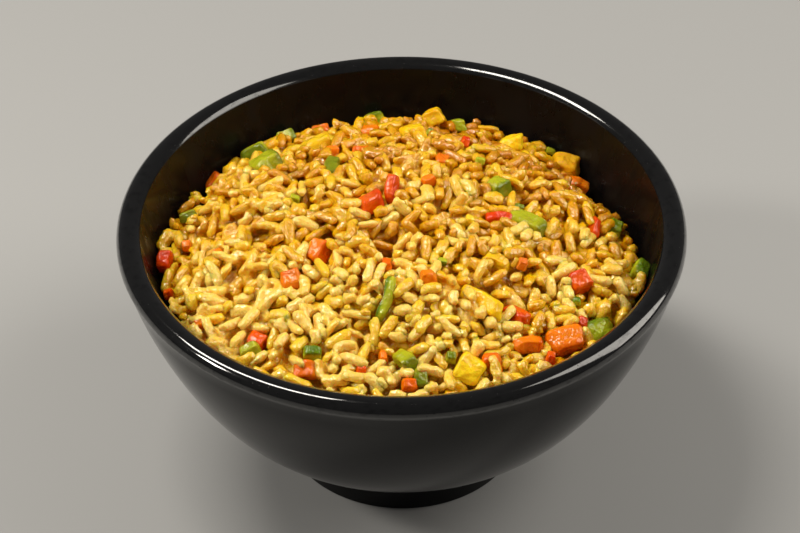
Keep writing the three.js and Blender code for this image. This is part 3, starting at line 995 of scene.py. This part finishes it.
finish_with(sticky, "smoothed", "SMOOTH", factor=0.4, iterations=1)
finish_with(sticky, "drawn in", "DISPLACE", strength=-SWELL, mid_level=0.0)
roughen(sticky, "rough_skin", 0.9 * MM, 0.6 * MM)
bpy.ops.object.mode_set(mode="EDIT")
bpy.ops.mesh.select_all(action="SELECT")
bpy.ops.mesh.bisect(plane_co=(0, 0, PAD_CUT), plane_no=(0, 0, 1), use_fill=True, clear_inner=True)
bpy.ops.object.mode_set(mode="OBJECT")
finish_with(sticky, "thinned", "DECIMATE", ratio=min(1.0, MOST_TRIANGLES / triangles(sticky)))
print("rice that sticks:", triangles(sticky), "triangles")

# %% Drop the scraps that the thinning leaves
FEWEST_CORNERS = 12

select_only(sticky)
bpy.ops.mesh.separate(type="LOOSE")
shells = list(bpy.context.selected_objects)
whole = [shell for shell in shells if len(shell.data.vertices) >= FEWEST_CORNERS]
for shell in shells:
    if shell not in whole:
        bpy.data.objects.remove(shell)
sticky = join_pieces("rice_stuck", whole)
print("shells:", len(shells), "kept:", len(whole), "triangles:", triangles(sticky))

# %% Give the fused rice the tones of its grains, with painted shade in its creases
CREASE_SHADE_REACH = 2 * MM

nearest = np.array([from_grain.find(vertex.co)[1:] for vertex in sticky.data.vertices])
for layer_name, values in grain_values.items():
    taken = values[nearest[:, 0].astype(int)]
    # Painted shade: a point far from any grain, in a crease or on the pad, gets more depth and so is darker.
    if layer_name == "depth":
        taken = np.clip(taken + nearest[:, 1] / CREASE_SHADE_REACH, 0, 1)
    write_layer(sticky, layer_name, taken)
batches["rice_stuck"] = sticky
for model in grain_models:
    bpy.data.objects.remove(model)
for name, piece in batches.items():
    print(name, "triangles:", triangles(piece))

# %% [markdown]
# ## The finish of the food
# Cooked rice lets light in a little way and is wet with oil. One flat colour would make it plastic, so it
# has plenty of subsurface light, a low roughness, and small dents that break the lamps into glints. Its
# colour runs from cream to deep amber: each of the three batches has its own middle colour, each grain its
# own tone, and its tips are paler. On top of that, painted shade darkens a grain the deeper it lies, and
# the further back and the further right it is.

# %% Make the rice finishes
SUBSURFACE_REACH = 2.8 * MM


def rice_looks(pale, golden, deep):
    """The finish of one batch. The higher the share at a place, the deeper its colour. The share also holds
    painted shade: for depth, towards the back and towards the right.
    """
    def build(tree):
        tone, depth, tip = (attribute(tree, name) for name in ("tone", "depth", "tip"))
        blotches = noise(tree, 2.2 * MM, detail=4)
        patches = noise(tree, 16 * MM, detail=2)
        shade_to_right = axis(tree, 0).above(-45 * MM, 55 * MM)
        shade_to_back = axis(tree, 1).above(-55 * MM, 60 * MM)
        # Painted shade: darker towards the right, and more so towards the back.
        share = tone * 0.45 + blotches * 0.4 + patches * 0.8 + shade_to_right * 0.2 + shade_to_back * 0.78
        # Painted shade: the deeper a grain lies, the darker.
        share = share + depth * 0.5 - tip * 0.12 + noise(tree, 0.8 * MM, detail=2) * 0.6 - 1.22
        colour = blend(tree, share.above(-0.05, 0.5), pale, golden)
        colour = blend(tree, share.above(0.4, 1.05), colour, deep)
        dents = bump(tree, noise(tree, 1.1 * MM, detail=2), 0.55 * MM)
        return {"Base Color": colour, "Roughness": 0.05 + 0.15 * blotches, "Normal": dents}
    return build


WET = {"Subsurface_Weight": 0.8, "Subsurface_Radius": (1.0, 0.5, 0.12), "Subsurface_Scale": SUBSURFACE_REACH,
       "IOR": 1.45, "Specular_IOR_Level": 1.0}
RICE_COLOURS = {
    "rice_pale": ((0.89, 0.60, 0.13), (0.80, 0.46, 0.004), (0.62, 0.29, 0.001)),
    "rice_stuck": ((0.88, 0.59, 0.11), (0.78, 0.44, 0.002), (0.60, 0.27, 0.001)),
    "rice_amber": ((0.84, 0.53, 0.025), (0.69, 0.345, 0.001), (0.52, 0.205, 0.0)),
}
for name, colours in RICE_COLOURS.items():
    batches[name].data.materials.append(material(name, rice_looks(*colours), **WET))


# The core's dark brown is painted shade: it stands for rice lying in shade under the first layers.
def core_looks(tree):
    colour = blend(tree, noise(tree, 3 * MM), (0.52, 0.23, 0.008), (0.30, 0.11, 0.003))
    return {"Base Color": colour, "Normal": bump(tree, noise(tree, 2.5 * MM), 1 * MM)}


core.data.materials.append(material("painted shade rice core", core_looks, Roughness=0.4))


# %% Make the vegetable finishes
def vegetable_looks(flesh, skin, browned):
    """The finish of one kind: flesh inside, another colour at the skin, and browning where it seared."""
    def build(tree):
        skin_share = attribute(tree, "skin").above(0.62, 0.90)
        mottle = noise(tree, 2.0 * MM, detail=5)
        colour = blend(tree, skin_share * 0.75 + mottle * 0.4 - 0.1, flesh, skin)
        browning = noise(tree, 4 * MM, detail=6).above(0.52, 0.72) * 0.4 + attribute(tree, "seared") * 0.55
        colour = blend(tree, browning, colour, browned)
        wrinkles = bump(tree, noise(tree, 1.6 * MM, detail=2), 0.6 * MM)
        return {"Base Color": colour, "Roughness": 0.07 + 0.16 * mottle, "Normal": wrinkles}
    return build


VEGETABLE_COLOURS = {
    "carrot": ((0.84, 0.20, 0.001), (0.76, 0.11, 0.0), (0.64, 0.23, 0.002)),
    "red_pepper": ((0.76, 0.10, 0.0), (0.62, 0.032, 0.0), (0.50, 0.09, 0.0)),
    "yellow_pepper": ((0.91, 0.61, 0.012), (0.89, 0.50, 0.002), (0.60, 0.20, 0.002)),
    "green_pepper": ((0.44, 0.47, 0.012), (0.05, 0.13, 0.003), (0.34, 0.27, 0.006)),
}
FIRM = {**WET, "Subsurface_Weight": 0.5, "Specular_IOR_Level": 0.5}
for kind, colours in VEGETABLE_COLOURS.items():
    vegetables[kind].data.materials.append(material(kind, vegetable_looks(*colours), **FIRM))

# %% Let the pieces stand for the heap in the frame
heap_pieces = [core, *batches.values(), *vegetables.values()]
for piece in heap_pieces:
    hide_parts("fried_rice")
    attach(piece, "root")
print("pieces of the heap:", [piece.name for piece in heap_pieces])

# %% [markdown]
# ## Table and light
# The bowl stands on a plain pale surface, under two large softboxes that hang over its left and right. The
# lip is a rounded ring, so each of them shows twice in it: on its outer half in front, and on its inner half
# at the back. Lamps behind the bowl would light the crest of the lip, which is dark in the photograph. A
# small softbox low at the left rakes over the heap: it draws the glints and the shadows of the grains.

# %% Make the table
deselect_all()
bpy.ops.mesh.primitive_plane_add(size=6)
table_top = bpy.context.object
table_top.name = "table_top"


def table_looks(tree):
    return {"Base Color": blend(tree, noise(tree, 0.4), (0.34, 0.34, 0.34), (0.36, 0.36, 0.357))}


table_top.data.materials.append(material("pale table", table_looks, Roughness=0.7))


# %% Hang the lamps
HEAP_MIDDLE = Vector((0, 0, 0.07))
WARM = (1, 0.95, 0.86)


def hang_softbox(name, place, size, watts):
    """A rectangular lamp that faces the middle of the heap. Its place and size are in metres."""
    light = bpy.data.lights.new(name, "AREA")
    light.shape = "RECTANGLE"
    light.size, light.size_y = size
    light.energy = watts
    light.color = WARM
    holder = bpy.data.objects.new(name, light)
    scene.collection.objects.link(holder)
    holder.location = place
    holder.rotation_euler = (HEAP_MIDDLE - Vector(place)).to_track_quat("-Z", "Y").to_euler()


hang_softbox("right softbox", (0.78, 0.06, 0.66), (0.55, 1.00), 8.5)
hang_softbox("left softbox", (-0.38, 0.18, 0.95), (0.20, 0.50), 7.5)
hang_softbox("small left softbox", (-0.75, -0.15, 0.65), (0.14, 0.14), 4)

# %% Fill the shadows a little from all round
WORLD_STRENGTH = 0.11

world = bpy.data.worlds.new("studio")
scene.world = world
world.use_nodes = True
background = world.node_tree.nodes["Background"].inputs
background["Color"].default_value = (1, 0.97, 0.93, 1)
background["Strength"].default_value = WORLD_STRENGTH
scene.view_settings.view_transform = "Standard"
print("light from all round:", WORLD_STRENGTH)
